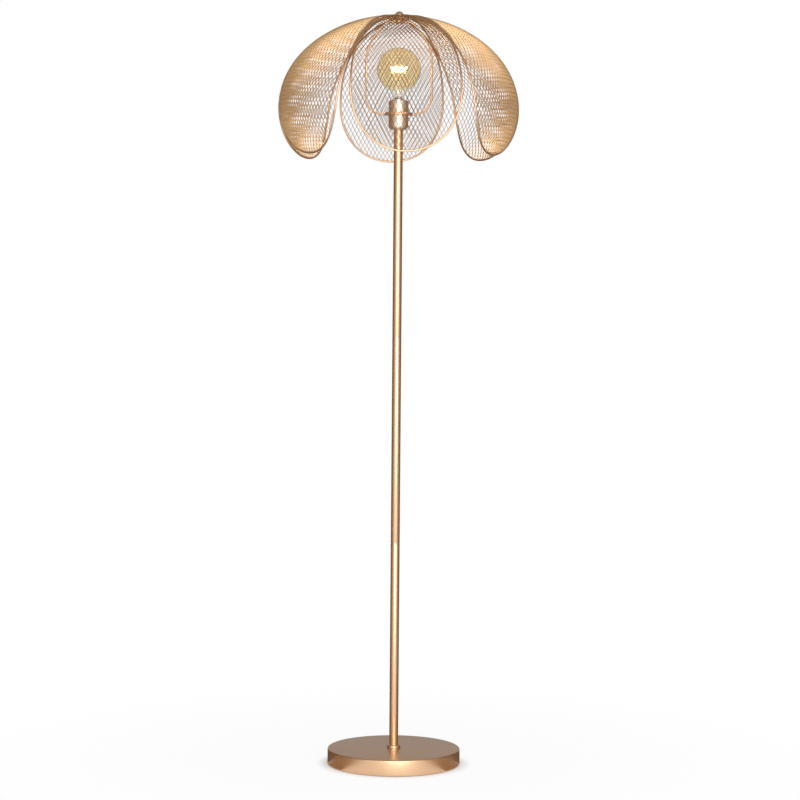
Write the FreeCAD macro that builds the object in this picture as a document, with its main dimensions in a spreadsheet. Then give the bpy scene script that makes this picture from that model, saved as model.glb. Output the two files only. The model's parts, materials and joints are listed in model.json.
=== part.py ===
import FreeCAD, Part

import math
import os
import re

import Sketcher
from FreeCAD import Placement, Rotation, Vector

# Wire cage floor lamp: a weighted round base, a pole in three sections, a lamp holder with a globe bulb, and a shade of
# six egg-shaped mesh petals that hang from a hub on top of a wire harp.
# Frame: origin at the middle of the base's underside, +Z up, -Y towards the viewer. Lengths are in millimetres.

# Driving dimensions: name, value, what it measures.
SIZES = [
    ("pad_radius", 136, "pad under the base"),
    ("pad_thickness", 2, "pad under the base"),
    ("base_radius", 140, "outside of the base cover"),
    ("base_height", 34, "top of the base above the floor"),
    ("cover_wall", 1.2, "sheet of the base cover"),
    ("cover_lift", 1, "lower edge of the cover above the floor"),
    ("cover_round", 3, "upper edge of the cover"),
    ("weight_gap", 0.5, "between weight and cover"),
    ("pocket_radius", 35, "pocket in the weight's underside"),
    ("pocket_ceiling", 22, "height of that pocket above the floor"),
    ("groove_width", 14, "groove from the cable inlet to the pocket"),
    ("groove_ceiling", 20, "height of that groove above the floor"),
    ("inlet_height", 11.5, "axis of the cable inlet above the floor"),
    ("inlet_bore", 3.5, "radius of the inlet's bore"),
    ("inlet_radius", 5, "radius of the inlet's sleeve"),
    ("inlet_flange", 7.5, "radius of the inlet's flange"),
    ("inlet_flange_depth", 2, "flange outside the cover"),
    ("inlet_sleeve", 14, "sleeve inside the cover"),
    ("block_width", 24, "terminal block along X"),
    ("block_depth", 14, "terminal block along Y"),
    ("block_front", 16, "front face of the terminal block from the axis"),
    ("block_screw", 2, "radius of its screw holes"),
    ("lead_radius", 2.2, "two-core lead"),
    ("lead_bend", 8, "bend of the lead under the nipple"),
    ("nipple_radius", 5, "M10 threaded tube"),
    ("nipple_bore", 3.5, "its bore"),
    ("base_nipple_bottom", 13, "height of its lower end"),
    ("base_nipple_length", 49, "its length"),
    ("washer_radius", 15, "washer under the weight"),
    ("washer_thickness", 2, "washer under the weight"),
    ("nut_corner", 9.8, "corner radius of the base nut"),
    ("nut_height", 6, "base nut"),
    ("collar_radius", 14.3, "collar at the pole foot"),
    ("collar_height", 6.5, "collar at the pole foot"),
    ("collar_round", 3.2, "upper edge of the collar"),
    ("pole_radius", 9.5, "pole tube"),
    ("pole_wall", 1.2, "pole tube"),
    ("section_length", 434.7, "one of the three pole sections"),
    ("seam_width", 1, "coupler flange between two sections"),
    ("seam_radius", 9.1, "coupler flange between two sections"),
    ("coupler_half", 28, "coupler inside each tube end"),
    ("insert_bore", 4.2, "bore of the couplers"),
    ("foot_insert_length", 30, "threaded plug in the pole foot"),
    ("top_insert_length", 20, "threaded plug in the pole top"),
    ("cup_radius", 20.75, "lamp holder outside"),
    ("cup_height", 31, "lower cup of the lamp holder"),
    ("cup_wall", 1.2, "sheet of the lamp holder"),
    ("cup_round", 9, "lower edge of the cup"),
    ("holder_nipple_length", 23, "nipple between pole and holder"),
    ("holder_nipple_rise", 7, "part of it inside the cup"),
    ("locknut_corner", 8, "corner radius of the holder locknut"),
    ("locknut_height", 4, "holder locknut"),
    ("core_radius", 18.35, "ceramic core"),
    ("core_hollow", 14, "hollow in its underside"),
    ("core_floor", 8, "roof of that hollow above the pole top"),
    ("core_foot", 1.8, "inner edge of its foot above the pole top"),
    ("core_heel", 5, "outer edge of its foot above the pole top"),
    ("core_top", 33.4, "seat of the contact above the pole top"),
    ("core_bore", 4, "hole for the lead"),
    ("core_bore_depth", 8, "hole for the lead"),
    ("contact_width", 6, "centre contact spring"),
    ("contact_leaf", 0.4, "its sheet"),
    ("contact_rise", 2.3, "its lift above the core"),
    ("contact_foot", 11, "its fixed end from the axis"),
    ("contact_bend", 5, "its flat foot"),
    ("contact_crest", 9, "where it is level again, from its fixed end"),
    ("contact_end", 13, "its whole reach"),
    ("screw_shell_radius", 13.2, "inside of the holder's screw shell"),
    ("screw_shell_wall", 0.4, "sheet of the screw shell"),
    ("screw_shell_height", 24, "screw shell"),
    ("spigot_length", 7, "part of the upper shell inside the cup"),
    ("shell_height", 27.6, "upper shell above the plate"),
    ("lip_bore", 15.2, "opening in the upper shell's top"),
    ("lip_thickness", 1.5, "lip of the upper shell"),
    ("plate_slot", 2, "gap between cup and upper shell"),
    ("plate_play", 0.05, "play of the plate in that gap"),
    ("plate_radius", 31.5, "harp plate"),
    ("plate_bore_play", 0.07, "play of the plate round the holder"),
    ("ring_radius", 28.5, "threaded ring above the plate"),
    ("ring_height", 3, "threaded ring above the plate"),
    ("harp_wire", 2, "radius of the harp's wire"),
    ("harp_start", 29.5, "where an arm enters the plate"),
    ("harp_width", 69, "straight stretch of an arm from the axis"),
    ("harp_corner", 38, "lower bend of an arm"),
    ("harp_shoulder_level", 1478, "where the shoulder bend begins"),
    ("harp_shoulder", 95, "shoulder bend of an arm"),
    ("harp_crown", 30, "upper bend of an arm"),
    ("harp_end", 6, "end of an arm from the axis"),
    ("boss_level", 1561.5, "underside of the hub boss"),
    ("boss_radius", 9, "hub boss"),
    ("boss_height", 8, "hub boss"),
    ("stud_radius", 3, "M6 stud on the boss"),
    ("stud_length", 12.5, "M6 stud on the boss"),
    ("hub_radius", 28, "hub disc"),
    ("hub_thickness", 2, "hub disc"),
    ("tab_radius", 26, "petal tab"),
    ("tab_bore", 6.2, "inner edge of a petal tab"),
    ("tab_thickness", 1.5, "petal tab"),
    ("tab_angle", 56, "petal tab, in degrees"),
    ("clamp_radius", 15.5, "washer on the tabs"),
    ("clamp_thickness", 1.5, "washer on the tabs"),
    ("finial_play", 0.05, "play of the finial on its stud"),
    ("finial_washer_radius", 10, "washer under the finial"),
    ("finial_washer_thickness", 1.45, "washer under the finial"),
    ("finial_radius", 9, "domed finial"),
    ("finial_height", 9, "domed finial"),
    ("finial_round", 8.2, "edge of the dome"),
    ("finial_bore_depth", 6.5, "threaded hole of the finial"),
    ("globe_radius", 46, "bulb"),
    ("globe_level", 1464, "middle of the bulb's globe"),
    ("glass_wall", 0.8, "bulb glass"),
    ("neck_radius", 12.6, "bulb neck inside the cap"),
    ("neck_bottom", 1396, "lower end of the bulb glass"),
    ("neck_top", 1402, "where the neck begins to flare"),
    ("flare_top", 1424, "where the flare meets the globe"),
    ("flare_start_radius", 13.2, "foot of the flare"),
    ("flare_end_radius", 22.6, "top of the flare"),
    ("tip_radius", 4.5, "contact tip of the bulb cap"),
    ("tip_bottom", 1374.25, "lower end of the contact tip"),
    ("tip_height", 2.15, "contact tip"),
    ("insulator_height", 3, "glass insulator of the bulb cap"),
    ("insulator_radius", 11.5, "upper end of that insulator"),
    ("cap_play", 0.05, "play of the bulb cap in the screw shell"),
    ("cap_wall", 0.5, "sheet of the bulb cap"),
    ("cap_height", 21.6, "bulb cap"),
    ("cap_bevel", 1.6, "lower edge of the bulb cap"),
    ("cap_foot", 11, "opening in the cap's underside"),
    ("stem_neck", 6, "middle of the glass stem"),
    ("stem_tip", 3, "top of the glass stem"),
    ("stem_shoulder", 1408, "where the stem becomes slim"),
    ("stem_top", 1440, "top of the glass stem"),
    ("filament_radius", 0.9, "filament rod"),
    ("filament_length", 40, "filament rod"),
    ("filament_tilt", 14, "lean of a filament, in degrees"),
    ("petal_radius", 250, "radius of the shade at its widest"),
    ("petal_rise", 193.5, "crown of the shade above its widest level"),
    ("petal_level", 1382, "height of the widest level"),
    ("petal_half_width", 112, "half the width of a petal along its surface"),
    ("petal_start", 18, "inner end of a petal, along its middle line from the axis"),
    ("petal_root", 6, "radius of the petal's inner end"),
    ("petal_widest", 325, "widest point of a petal, along its middle line"),
    ("petal_tip", 457, "tip of a petal, along its middle line"),
    ("petal_flank_start", 0.574, "how early the flank widens; 1 is a plain half wave"),
    ("petal_flank_power", 2.5, "how hollow the flank is near the hub; 2 is a plain half wave"),
    ("petal_turn", 4, "turn of the first petal from the front, in degrees"),
    ("petal_count", 6, "petals"),
    ("rim_wire", 2, "radius of a petal's rim wire"),
    ("mesh_thickness", 1.2, "mesh panel"),
]

doc = FreeCAD.newDocument("floor_lamp")
sheet = doc.addObject("Spreadsheet::Sheet", "Sizes")
for row, (alias, value, meaning) in enumerate(SIZES, start=1):
    sheet.set("A%d" % row, alias)
    sheet.set("B%d" % row, str(value))
    sheet.set("C%d" % row, meaning)
    sheet.setAlias("B%d" % row, alias)
doc.recompute()

pieces = []


def size(alias):
    """A driving dimension as a number."""
    return float(sheet.get(alias))


def bind(text):
    """An expression in which every name is a cell of the sheet."""
    return re.sub(r"[a-z][a-z_]+", lambda name: "Sizes." + name.group(0), text)


# Heights that several pieces share, as expressions.
POLE_TOP = "base_height + 3 * section_length"
CUP_RIM = POLE_TOP + " + cup_height"
SHOULDER = CUP_RIM + " + plate_slot"
CORE_TOP = POLE_TOP + " + core_top"
TAB_FLOOR = "boss_level + boss_height + hub_thickness"
TAB_ROOF = TAB_FLOOR + " + tab_thickness"
FINIAL_SEAT = TAB_ROOF + " + clamp_thickness + finial_play"
CAP_FOOT = "tip_bottom + tip_height + insulator_height"


def keep(piece):
    """Lists a finished piece for export."""
    pieces.append(piece)
    return piece


def origin_plane(body, role):
    return next(item for item in body.Origin.OriginFeatures if item.Role == role)


def new_sketch(body, name, role, offset=0):
    sketch = body.newObject("Sketcher::SketchObject", name)
    sketch.AttachmentSupport = [(origin_plane(body, role), "")]
    sketch.MapMode = "FlatFace"
    sketch.AttachmentOffset = Placement(Vector(0, 0, offset), Rotation())
    return sketch


def polygon(sketch, corners):
    """A closed outline whose corners' distances from the two axes are bound to the sheet."""
    count = len(corners)
    start = [Vector(20 + 10 * math.cos(2 * math.pi * i / count), 20 + 10 * math.sin(2 * math.pi * i / count), 0)
             for i in range(count)]
    for i in range(count):
        sketch.addGeometry(Part.LineSegment(start[i], start[(i + 1) % count]), False)
    for i in range(count):
        sketch.addConstraint(Sketcher.Constraint("Coincident", i, 2, (i + 1) % count, 1))
    for i, (across, up) in enumerate(corners):
        for kind, text, value, axis in (("DistanceX", across, start[i].x, -2), ("DistanceY", up, start[i].y, -1)):
            if text == "0":
                sketch.addConstraint(Sketcher.Constraint("PointOnObject", i, 1, axis))
                continue
            index = sketch.addConstraint(Sketcher.Constraint(kind, -1, 1, i, 1, value))
            sketch.setExpression("Constraints[%d]" % index, bind(text))


def round_corner(body, sketch, corner, radius):
    """Rounds the circular edge that a corner of the turned outline makes."""
    point = sketch.Geometry[corner].StartPoint
    names = []
    for i, edge in enumerate(body.Shape.Edges, start=1):
        if not isinstance(edge.Curve, Part.Circle):
            continue
        if abs(edge.Curve.Radius - point.x) < 1e-4 and abs(edge.Curve.Center.z - point.y) < 1e-4:
            names.append("Edge%d" % i)
    solid = body.Tip
    fillet = body.newObject("PartDesign::Fillet", body.Name + "_round")
    fillet.Base = (solid, names)
    fillet.setExpression("Radius", bind(radius))
    body.Tip = fillet
    doc.recompute()


def turned(label, corners, rounds=()):
    """A body turned about the Z axis; rounds lists (corner, radius)."""
    body = doc.addObject("PartDesign::Body", label)
    sketch = new_sketch(body, label + "_outline", "XZ_Plane")
    polygon(sketch, corners)
    turn = body.newObject("PartDesign::Revolution", label + "_turn")
    turn.Profile = sketch
    turn.ReferenceAxis = (sketch, ["V_Axis"])
    turn.Angle = 360
    body.Tip = turn
    doc.recompute()
    for corner, radius in rounds:
        round_corner(body, sketch, corner, radius)
    return body


def ring(label, inner, outer, bottom, top, rounds=()):
    return turned(label, [(inner, bottom), (outer, bottom), (outer, top), (inner, top)], rounds)


def cylinder(label, radius, height, place=("0", "0", "0")):
    item = doc.addObject("Part::Cylinder", label)
    item.setExpression("Radius", bind(radius))
    item.setExpression("Height", bind(height))
    for axis, text in zip("xyz", place):
        item.setExpression("Placement.Base." + axis, bind(text))
    return item


def box(label, sides, place):
    item = doc.addObject("Part::Box", label)
    for name, text in zip(("Length", "Width", "Height"), sides):
        item.setExpression(name, bind(text))
    for axis, text in zip("xyz", place):
        item.setExpression("Placement.Base." + axis, bind(text))
    return item


def fuse(label, items):
    joined = doc.addObject("Part::MultiFuse", label)
    joined.Shapes = items
    return joined


def cut(label, base, tool):
    result = doc.addObject("Part::Cut", label)
    result.Base = base
    result.Tool = tool
    return result


def shaped(label, shape):
    """A piece whose shape is worked out in this file from the sheet's sizes."""
    item = doc.addObject("Part::Feature", label)
    item.Shape = shape
    return item


def hex_nut(label, corner, height, bottom):
    blank = doc.addObject("Part::Prism", label + "_blank")
    blank.Polygon = 6
    blank.setExpression("Circumradius", bind(corner))
    blank.setExpression("Height", bind(height))
    blank.setExpression("Placement.Base.z", bind(bottom))
    hole = cylinder(label + "_hole", "nipple_radius", height, ("0", "0", bottom))
    return cut(label, blank, hole)


# ---- base ----

def base_pieces():
    keep(cylinder("base_pad", "pad_radius", "pad_thickness"))

    disc_radius = "base_radius - cover_wall - weight_gap"
    casting = turned("base_weight_casting", [
        ("nipple_radius", "pocket_ceiling"),
        ("pocket_radius", "pocket_ceiling"),
        ("pocket_radius", "pad_thickness"),
        (disc_radius, "pad_thickness"),
        (disc_radius, "base_height - cover_wall"),
        ("nipple_radius", "base_height - cover_wall"),
    ], [(4, "cover_round")])
    groove = box("base_weight_groove", ("groove_width", "base_radius", "groove_ceiling - pad_thickness"),
                 ("-groove_width / 2", "pocket_radius / 2", "pad_thickness"))
    keep(cut("base_weight", casting, groove))

    inside = "base_radius - cover_wall"
    shell = turned("base_cover_shell", [
        ("nipple_radius", "base_height - cover_wall"),
        (inside, "base_height - cover_wall"),
        (inside, "cover_lift"),
        ("base_radius", "cover_lift"),
        ("base_radius", "base_height"),
        ("nipple_radius", "base_height"),
    ], [(4, "cover_round"), (1, "cover_round - cover_wall")])
    opening = cylinder("base_cover_opening", "inlet_radius", "base_radius", ("0", "pocket_radius", "inlet_height"))
    opening.Placement.Rotation = Rotation(Vector(1, 0, 0), -90)
    keep(cut("base_cover", shell, opening))

    keep(ring("base_collar", "pole_radius", "collar_radius", "base_height", "base_height + collar_height",
              [(2, "collar_round")]))
    keep(ring("base_nipple", "nipple_bore", "nipple_radius", "base_nipple_bottom",
              "base_nipple_bottom + base_nipple_length"))
    keep(ring("base_washer", "nipple_radius", "washer_radius", "pocket_ceiling - washer_thickness",
              "pocket_ceiling"))
    keep(hex_nut("base_nut", "nut_corner", "nut_height", "pocket_ceiling - washer_thickness - nut_height"))


def inlet_pieces():
    """The cable inlet at the rear of the base, turned about Z and then laid along +Y."""
    flat_back = "base_radius - cover_wall / 2"
    gland = turned("gland_turning", [
        ("inlet_bore", "base_radius - inlet_sleeve"),
        ("inlet_radius", "base_radius - inlet_sleeve"),
        ("inlet_radius", flat_back),
        ("inlet_flange", flat_back),
        ("inlet_flange", "base_radius + inlet_flange_depth"),
        ("inlet_bore", "base_radius + inlet_flange_depth"),
    ])
    gland.Placement.Rotation = Rotation(Vector(1, 0, 0), -90)
    gland.setExpression("Placement.Base.z", bind("inlet_height"))
    rim = cylinder("gland_seat", "base_radius", "base_height", ("0", "0", "0"))
    core = cylinder("gland_core", "base_radius - cover_wall", "base_height", ("0", "0", "0"))
    wall = cut("gland_seat_wall", rim, core)
    hole = cylinder("gland_seat_hole", "inlet_radius", "base_radius * 2", ("0", "0", "inlet_height"))
    hole.Placement.Rotation = Rotation(Vector(1, 0, 0), -90)
    keep(cut("cable_gland", gland, cut("gland_seat_cut", wall, hole)))


def terminal_pieces():
    block = box("terminal_block_body", ("block_width", "block_depth", "pocket_ceiling - pad_thickness - 1"),
                ("-block_width / 2", "block_front", "pad_thickness + 1"))
    screws = []
    for side in (-1, 1):
        screws.append(cylinder("terminal_screw_%s" % ("left" if side < 0 else "right"), "block_screw", "block_width / 2",
                               ("%d * block_width / 4" % side, "block_front + block_depth / 2", "0")))
    keep(cut("terminal_block", block, fuse("terminal_screws", screws)))


# ---- wires and leads: solids swept along straight runs and arcs ----

def swept(path_edges, radius):
    """A round wire along joined edges, checked against section times length."""
    path = Part.Wire(path_edges)
    first = path_edges[0]
    tangent = first.tangentAt(first.FirstParameter)
    start = first.valueAt(first.FirstParameter)
    section = Part.Wire(Part.makeCircle(radius, start, tangent))
    solid = path.makePipeShell([section], True, False)
    if solid.Volume < 0:
        solid.reverse()
    expected = math.pi * radius ** 2 * path.Length
    print("  wire length %.1f, volume against section times length %.4f" % (path.Length, solid.Volume / expected))
    return solid


def lead_pieces():
    """The lead from the terminal block, under the nipple, and up the pole to the holder's core."""
    bend = size("lead_bend")
    turn_level = size("base_nipple_bottom")
    floor_level = turn_level - bend
    top = size("base_height") + 3 * size("section_length") + size("core_floor") + size("core_bore_depth")
    corner = bend * (1 - math.sqrt(0.5))
    edges = [
        Part.makeLine(Vector(0, size("block_front"), floor_level), Vector(0, bend, floor_level)),
        Part.Arc(Vector(0, bend, floor_level), Vector(0, corner, floor_level + corner),
                 Vector(0, 0, turn_level)).toShape(),
        Part.makeLine(Vector(0, 0, turn_level), Vector(0, 0, top)),
    ]
    keep(shaped("inner_lead", swept(edges, size("lead_radius"))))


# ---- pole ----

def pole_pieces():
    bore = "pole_radius - pole_wall"
    names = ("pole_lower", "pole_middle", "pole_upper")
    for i, name in enumerate(names):
        bottom = "base_height + %d * section_length" % i + (" + seam_width / 2" if i else "")
        top = "base_height + %d * section_length" % (i + 1) + (" - seam_width / 2" if i < 2 else "")
        keep(ring(name, bore, "pole_radius", bottom, top))
    for i, name in enumerate(("pole_coupler_lower", "pole_coupler_upper"), start=1):
        seam = "base_height + %d * section_length" % i
        keep(turned(name, [
            ("insert_bore", seam + " - coupler_half"),
            (bore, seam + " - coupler_half"),
            (bore, seam + " - seam_width / 2"),
            ("seam_radius", seam + " - seam_width / 2"),
            ("seam_radius", seam + " + seam_width / 2"),
            (bore, seam + " + seam_width / 2"),
            (bore, seam + " + coupler_half"),
            ("insert_bore", seam + " + coupler_half"),
        ]))
    keep(ring("pole_foot_insert", "nipple_radius", bore, "base_height", "base_height + foot_insert_length"))
    keep(ring("pole_top_insert", "nipple_radius", bore, POLE_TOP + " - top_insert_length", POLE_TOP))


# ---- lamp holder ----

def holder_pieces():
    nipple_top = POLE_TOP + " + holder_nipple_rise"
    keep(ring("holder_nipple", "nipple_bore", "nipple_radius", nipple_top + " - holder_nipple_length", nipple_top))
    keep(hex_nut("holder_locknut", "locknut_corner", "locknut_height", POLE_TOP + " + cup_wall"))

    inside = "cup_radius - cup_wall"
    keep(turned("holder_cup", [
        ("nipple_radius", POLE_TOP),
        ("cup_radius", POLE_TOP),
        ("cup_radius", CUP_RIM),
        (inside, CUP_RIM),
        (inside, POLE_TOP + " + cup_wall"),
        ("nipple_radius", POLE_TOP + " + cup_wall"),
    ], [(1, "cup_round"), (4, "cup_round - cup_wall")]))

    roof = POLE_TOP + " + core_floor"
    keep(turned("holder_core", [
        ("0", roof + " + core_bore_depth"),
        ("core_bore", roof + " + core_bore_depth"),
        ("core_bore", roof),
        ("core_hollow", roof),
        ("core_hollow", POLE_TOP + " + core_foot"),
        ("core_radius", POLE_TOP + " + core_heel"),
        ("core_radius", CORE_TOP),
        ("0", CORE_TOP),
    ]))

    keep(turned("holder_shell", [
        ("core_radius", CUP_RIM + " - spigot_length"),
        (inside, CUP_RIM + " - spigot_length"),
        (inside, SHOULDER),
        ("cup_radius", SHOULDER),
        ("cup_radius", SHOULDER + " + shell_height"),
        ("lip_bore", SHOULDER + " + shell_height"),
        ("lip_bore", SHOULDER + " + shell_height - lip_thickness"),
        ("core_radius", SHOULDER + " + shell_height - lip_thickness"),
    ], [(4, "lip_thickness / 2")]))

    outside = "screw_shell_radius + screw_shell_wall"
    keep(ring("thread_shell", "screw_shell_radius", outside, CORE_TOP, CORE_TOP + " + screw_shell_height"))
    keep(ring("shade_ring", "cup_radius + plate_play", "ring_radius", SHOULDER + " + plate_play",
              SHOULDER + " + plate_play + ring_height"))


def contact_piece():
    """A leaf spring bent up from the core to the bulb's contact tip."""
    body = doc.addObject("PartDesign::Body", "centre_contact")
    sketch = new_sketch(body, "centre_contact_outline", "XZ_Plane")
    leaf = size("contact_leaf")
    rise = size("contact_rise")
    bend = size("contact_bend")
    crest = size("contact_crest")
    end = size("contact_end")
    corners = [(0, 0), (bend, 0), (crest, rise), (end, rise), (end, rise + leaf), (crest - leaf / 2, rise + leaf),
               (bend - leaf / 2, leaf), (0, leaf)]
    for i, (across, up) in enumerate(corners):
        after = corners[(i + 1) % len(corners)]
        sketch.addGeometry(Part.LineSegment(Vector(across, up, 0), Vector(after[0], after[1], 0)), False)
        sketch.addConstraint(Sketcher.Constraint("Block", i))
    pad = body.newObject("PartDesign::Pad", "centre_contact_pad")
    pad.Profile = sketch
    pad.Midplane = True
    pad.setExpression("Length", bind("contact_width"))
    body.Tip = pad
    body.setExpression("Placement.Base.x", bind("-contact_foot"))
    body.setExpression("Placement.Base.z", bind(CORE_TOP))
    keep(body)


# ---- bulb ----

def bulb_pieces():
    def glass(label, allowance, bottom):
        globe = doc.addObject("Part::Sphere", label + "_globe")
        globe.setExpression("Radius", bind("globe_radius - " + allowance))
        globe.setExpression("Placement.Base.z", bind("globe_level"))
        flare = doc.addObject("Part::Cone", label + "_flare")
        flare.setExpression("Radius1", bind("flare_start_radius - " + allowance))
        flare.setExpression("Radius2", bind("flare_end_radius - " + allowance))
        flare.setExpression("Height", bind("flare_top - neck_top"))
        flare.setExpression("Placement.Base.z", bind("neck_top"))
        neck = cylinder(label + "_neck", "neck_radius - " + allowance, "neck_top - (%s)" % bottom, ("0", "0", bottom))
        return fuse(label, [globe, flare, neck])

    outer = glass("glass_outside", "0", "neck_bottom")
    inner = glass("glass_inside", "glass_wall", "neck_bottom - glass_wall")
    keep(cut("bulb_glass", outer, inner))

    outside = "screw_shell_radius - cap_play"
    inside = outside + " - cap_wall"
    keep(turned("bulb_cap", [
        ("cap_foot", CAP_FOOT),
        ("insulator_radius", CAP_FOOT),
        (outside, CAP_FOOT + " + cap_bevel"),
        (outside, CAP_FOOT + " + cap_height"),
        (inside, CAP_FOOT + " + cap_height"),
        (inside, CAP_FOOT + " + cap_bevel + cap_wall"),
        ("cap_foot", CAP_FOOT + " + cap_wall"),
    ]))
    keep(turned("bulb_cap_insulator", [
        ("0", "tip_bottom + tip_height"),
        ("tip_radius", "tip_bottom + tip_height"),
        ("insulator_radius", CAP_FOOT),
        ("0", CAP_FOOT),
    ]))
    tip = turned("bulb_contact_tip", [
        ("0", "tip_bottom"),
        ("tip_radius", "tip_bottom"),
        ("tip_radius", "tip_bottom + tip_height"),
        ("0", "tip_bottom + tip_height"),
    ], [(1, "tip_height / 2")])
    keep(tip)
    keep(turned("bulb_stem", [
        ("0", "neck_bottom"),
        ("neck_radius - glass_wall", "neck_bottom"),
        ("neck_radius - glass_wall", "neck_bottom + 1"),
        ("stem_neck", "stem_shoulder"),
        ("stem_tip", "stem_top"),
        ("0", "stem_top"),
    ]))
    rods = []
    for i in range(4):
        turn = 45 + 90 * i
        rod = cylinder("filament_%d" % (i + 1), "filament_radius", "filament_length")
        rod.setExpression("Placement.Base.x", bind("stem_tip / 2 * %d" % (1 if i in (0, 3) else -1)))
        rod.setExpression("Placement.Base.y", bind("stem_tip / 2 * %d" % (1 if i in (0, 1) else -1)))
        rod.setExpression("Placement.Base.z", bind("stem_top"))
        lean = Rotation(Vector(0, 1, 0), size("filament_tilt"))
        rod.Placement.Rotation = Rotation(Vector(0, 0, 1), turn).multiply(lean)
        rods.append(rod)
    keep(fuse("bulb_filaments", rods))


# ---- harp and hub ----

def harp_path():
    """One arm's middle line in the X-Z plane, from the plate to the hub boss."""
    level = size("base_height") + 3 * size("section_length") + size("cup_height") + size("plate_slot") / 2
    width = size("harp_width")
    corner = size("harp_corner")
    shoulder = size("harp_shoulder")
    shoulder_level = size("harp_shoulder_level")
    crown = size("harp_crown")
    end_level = size("boss_level") + size("boss_height") / 2
    lean = math.radians(40)

    def at(across, up):
        return Vector(across, 0, up)

    def bend(middle, radius, begin, end):
        points = [middle + at(radius * math.cos(angle), radius * math.sin(angle))
                  for angle in (begin, (begin + end) / 2, end)]
        return Part.Arc(*points).toShape(), points[2]

    start = at(size("harp_start"), level)
    low = at(width - corner, level + corner)
    low_bend, foot = bend(low, corner, -math.pi / 2, 0)
    turn_middle = at(width - shoulder, shoulder_level)
    shoulder_bend, slope_start = bend(turn_middle, shoulder, 0, lean)
    crown_rise = crown * (1 - math.sin(lean))
    slope = (end_level - crown_rise - slope_start.z) / math.cos(lean)
    slope_end = slope_start + at(-slope * math.sin(lean), slope * math.cos(lean))
    crown_middle = slope_end - at(crown * math.cos(lean), crown * math.sin(lean))
    crown_bend, crown_end = bend(crown_middle, crown, lean, math.pi / 2)
    finish = at(size("harp_end"), end_level)
    edges = [low_bend, Part.makeLine(foot, at(width, shoulder_level)), shoulder_bend,
             Part.makeLine(slope_start, slope_end), crown_bend, Part.makeLine(crown_end, finish)]
    first = at(width - corner, level)
    if first.x > start.x + 1e-6:
        edges.insert(0, Part.makeLine(start, first))
    return edges


def harp_pieces():
    wire = swept(harp_path(), size("harp_wire"))
    right = keep(shaped("harp_arm_right", wire))
    left = keep(shaped("harp_arm_left", wire.copy()))
    left.Placement = Placement(Vector(0, 0, 0), Rotation(Vector(0, 0, 1), 180))

    blank = ring("harp_plate_blank", "cup_radius - cup_wall + plate_bore_play", "plate_radius",
                 CUP_RIM + " + plate_play", SHOULDER + " - plate_play")
    keep(cut("harp_plate", blank, fuse("harp_feet", [right, left])))

    boss = turned("hub_boss_turning", [
        ("0", "boss_level"),
        ("boss_radius", "boss_level"),
        ("boss_radius", "boss_level + boss_height"),
        ("stud_radius", "boss_level + boss_height"),
        ("stud_radius", "boss_level + boss_height + stud_length"),
        ("0", "boss_level + boss_height + stud_length"),
    ], [(1, "stud_radius / 2")])
    keep(cut("hub_boss", boss, fuse("harp_heads", [right, left])))
    keep(ring("hub_disc", "stud_radius", "hub_radius", "boss_level + boss_height", TAB_FLOOR))
    keep(ring("clamp_washer", "stud_radius", "clamp_radius", TAB_ROOF, TAB_ROOF + " + clamp_thickness"))
    bore = "stud_radius + finial_play"
    washer_top = FINIAL_SEAT + " + finial_washer_thickness"
    keep(ring("finial_washer", bore, "finial_washer_radius", FINIAL_SEAT, washer_top))
    keep(turned("finial", [
        (bore, washer_top),
        ("finial_radius", washer_top),
        ("finial_radius", washer_top + " + finial_height"),
        ("0", washer_top + " + finial_height"),
        ("0", washer_top + " + finial_bore_depth"),
        (bore, washer_top + " + finial_bore_depth"),
    ], [(2, "finial_round")]))


# ---- petals ----
# A petal lies on a flattened globe, an ellipse turned about the Z axis. Its outline is drawn in two lengths measured on
# that surface: along, from the axis down the petal's middle line, and across, from the middle line.

RADIUS = size("petal_radius")
RISE = size("petal_rise")
MIDDLE = Vector(0, 0, size("petal_level"))
START = size("petal_start")
ROOT = size("petal_root")
WIDEST = size("petal_widest")
TIP = size("petal_tip")
HALF_WIDTH = size("petal_half_width")
FLANK_START = size("petal_flank_start")
FLANK_POWER = size("petal_flank_power")
COUNT = int(size("petal_count"))


def meridian(steps=1600, last_angle=math.radians(130)):
    """Lengths down the middle line at even angles from the top."""
    step = last_angle / steps
    lengths = [0.0]
    for i in range(steps):
        angle = (i + 0.5) * step
        lengths.append(lengths[-1] + step * math.hypot(RADIUS * math.cos(angle), RISE * math.sin(angle)))
    return step, lengths


ANGLE_STEP, LENGTHS = meridian()


def angle_at(along):
    """Angle from the top at a length down the middle line."""
    low, high = 0, len(LENGTHS) - 1
    while high - low > 1:
        between = (low + high) // 2
        if LENGTHS[between] <= along:
            low = between
        else:
            high = between
    part = (along - LENGTHS[low]) / (LENGTHS[high] - LENGTHS[low])
    return ANGLE_STEP * (low + part)


def side_angle(along, across):
    return math.asin(across / (RADIUS * math.sin(angle_at(along))))


def on_surface(along, across):
    """A point of the petal that faces the front."""
    angle = angle_at(along)
    side = side_angle(along, across)
    ring_radius = RADIUS * math.sin(angle)
    return MIDDLE + Vector(ring_radius * math.sin(side), -ring_radius * math.cos(side), RISE * math.cos(angle))


def half_width(along):
    """Half the petal's width at a length down its middle line."""
    if along < START + ROOT:
        return math.sqrt(max(0.0, ROOT ** 2 - (START + ROOT - along) ** 2))
    if along < WIDEST:
        share = (along - START - ROOT) / (WIDEST - START - ROOT)
        return ROOT + (HALF_WIDTH - ROOT) * math.sin(math.pi / 2 * share ** FLANK_START) ** FLANK_POWER
    return HALF_WIDTH * math.sqrt(max(0.0, 1 - ((along - WIDEST) / (TIP - WIDEST)) ** 2))


ROOT_STEPS, FLANK_STEPS, TIP_STEPS = 2, 9, 7
SIDE_STEPS = ROOT_STEPS + FLANK_STEPS + TIP_STEPS
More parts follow.
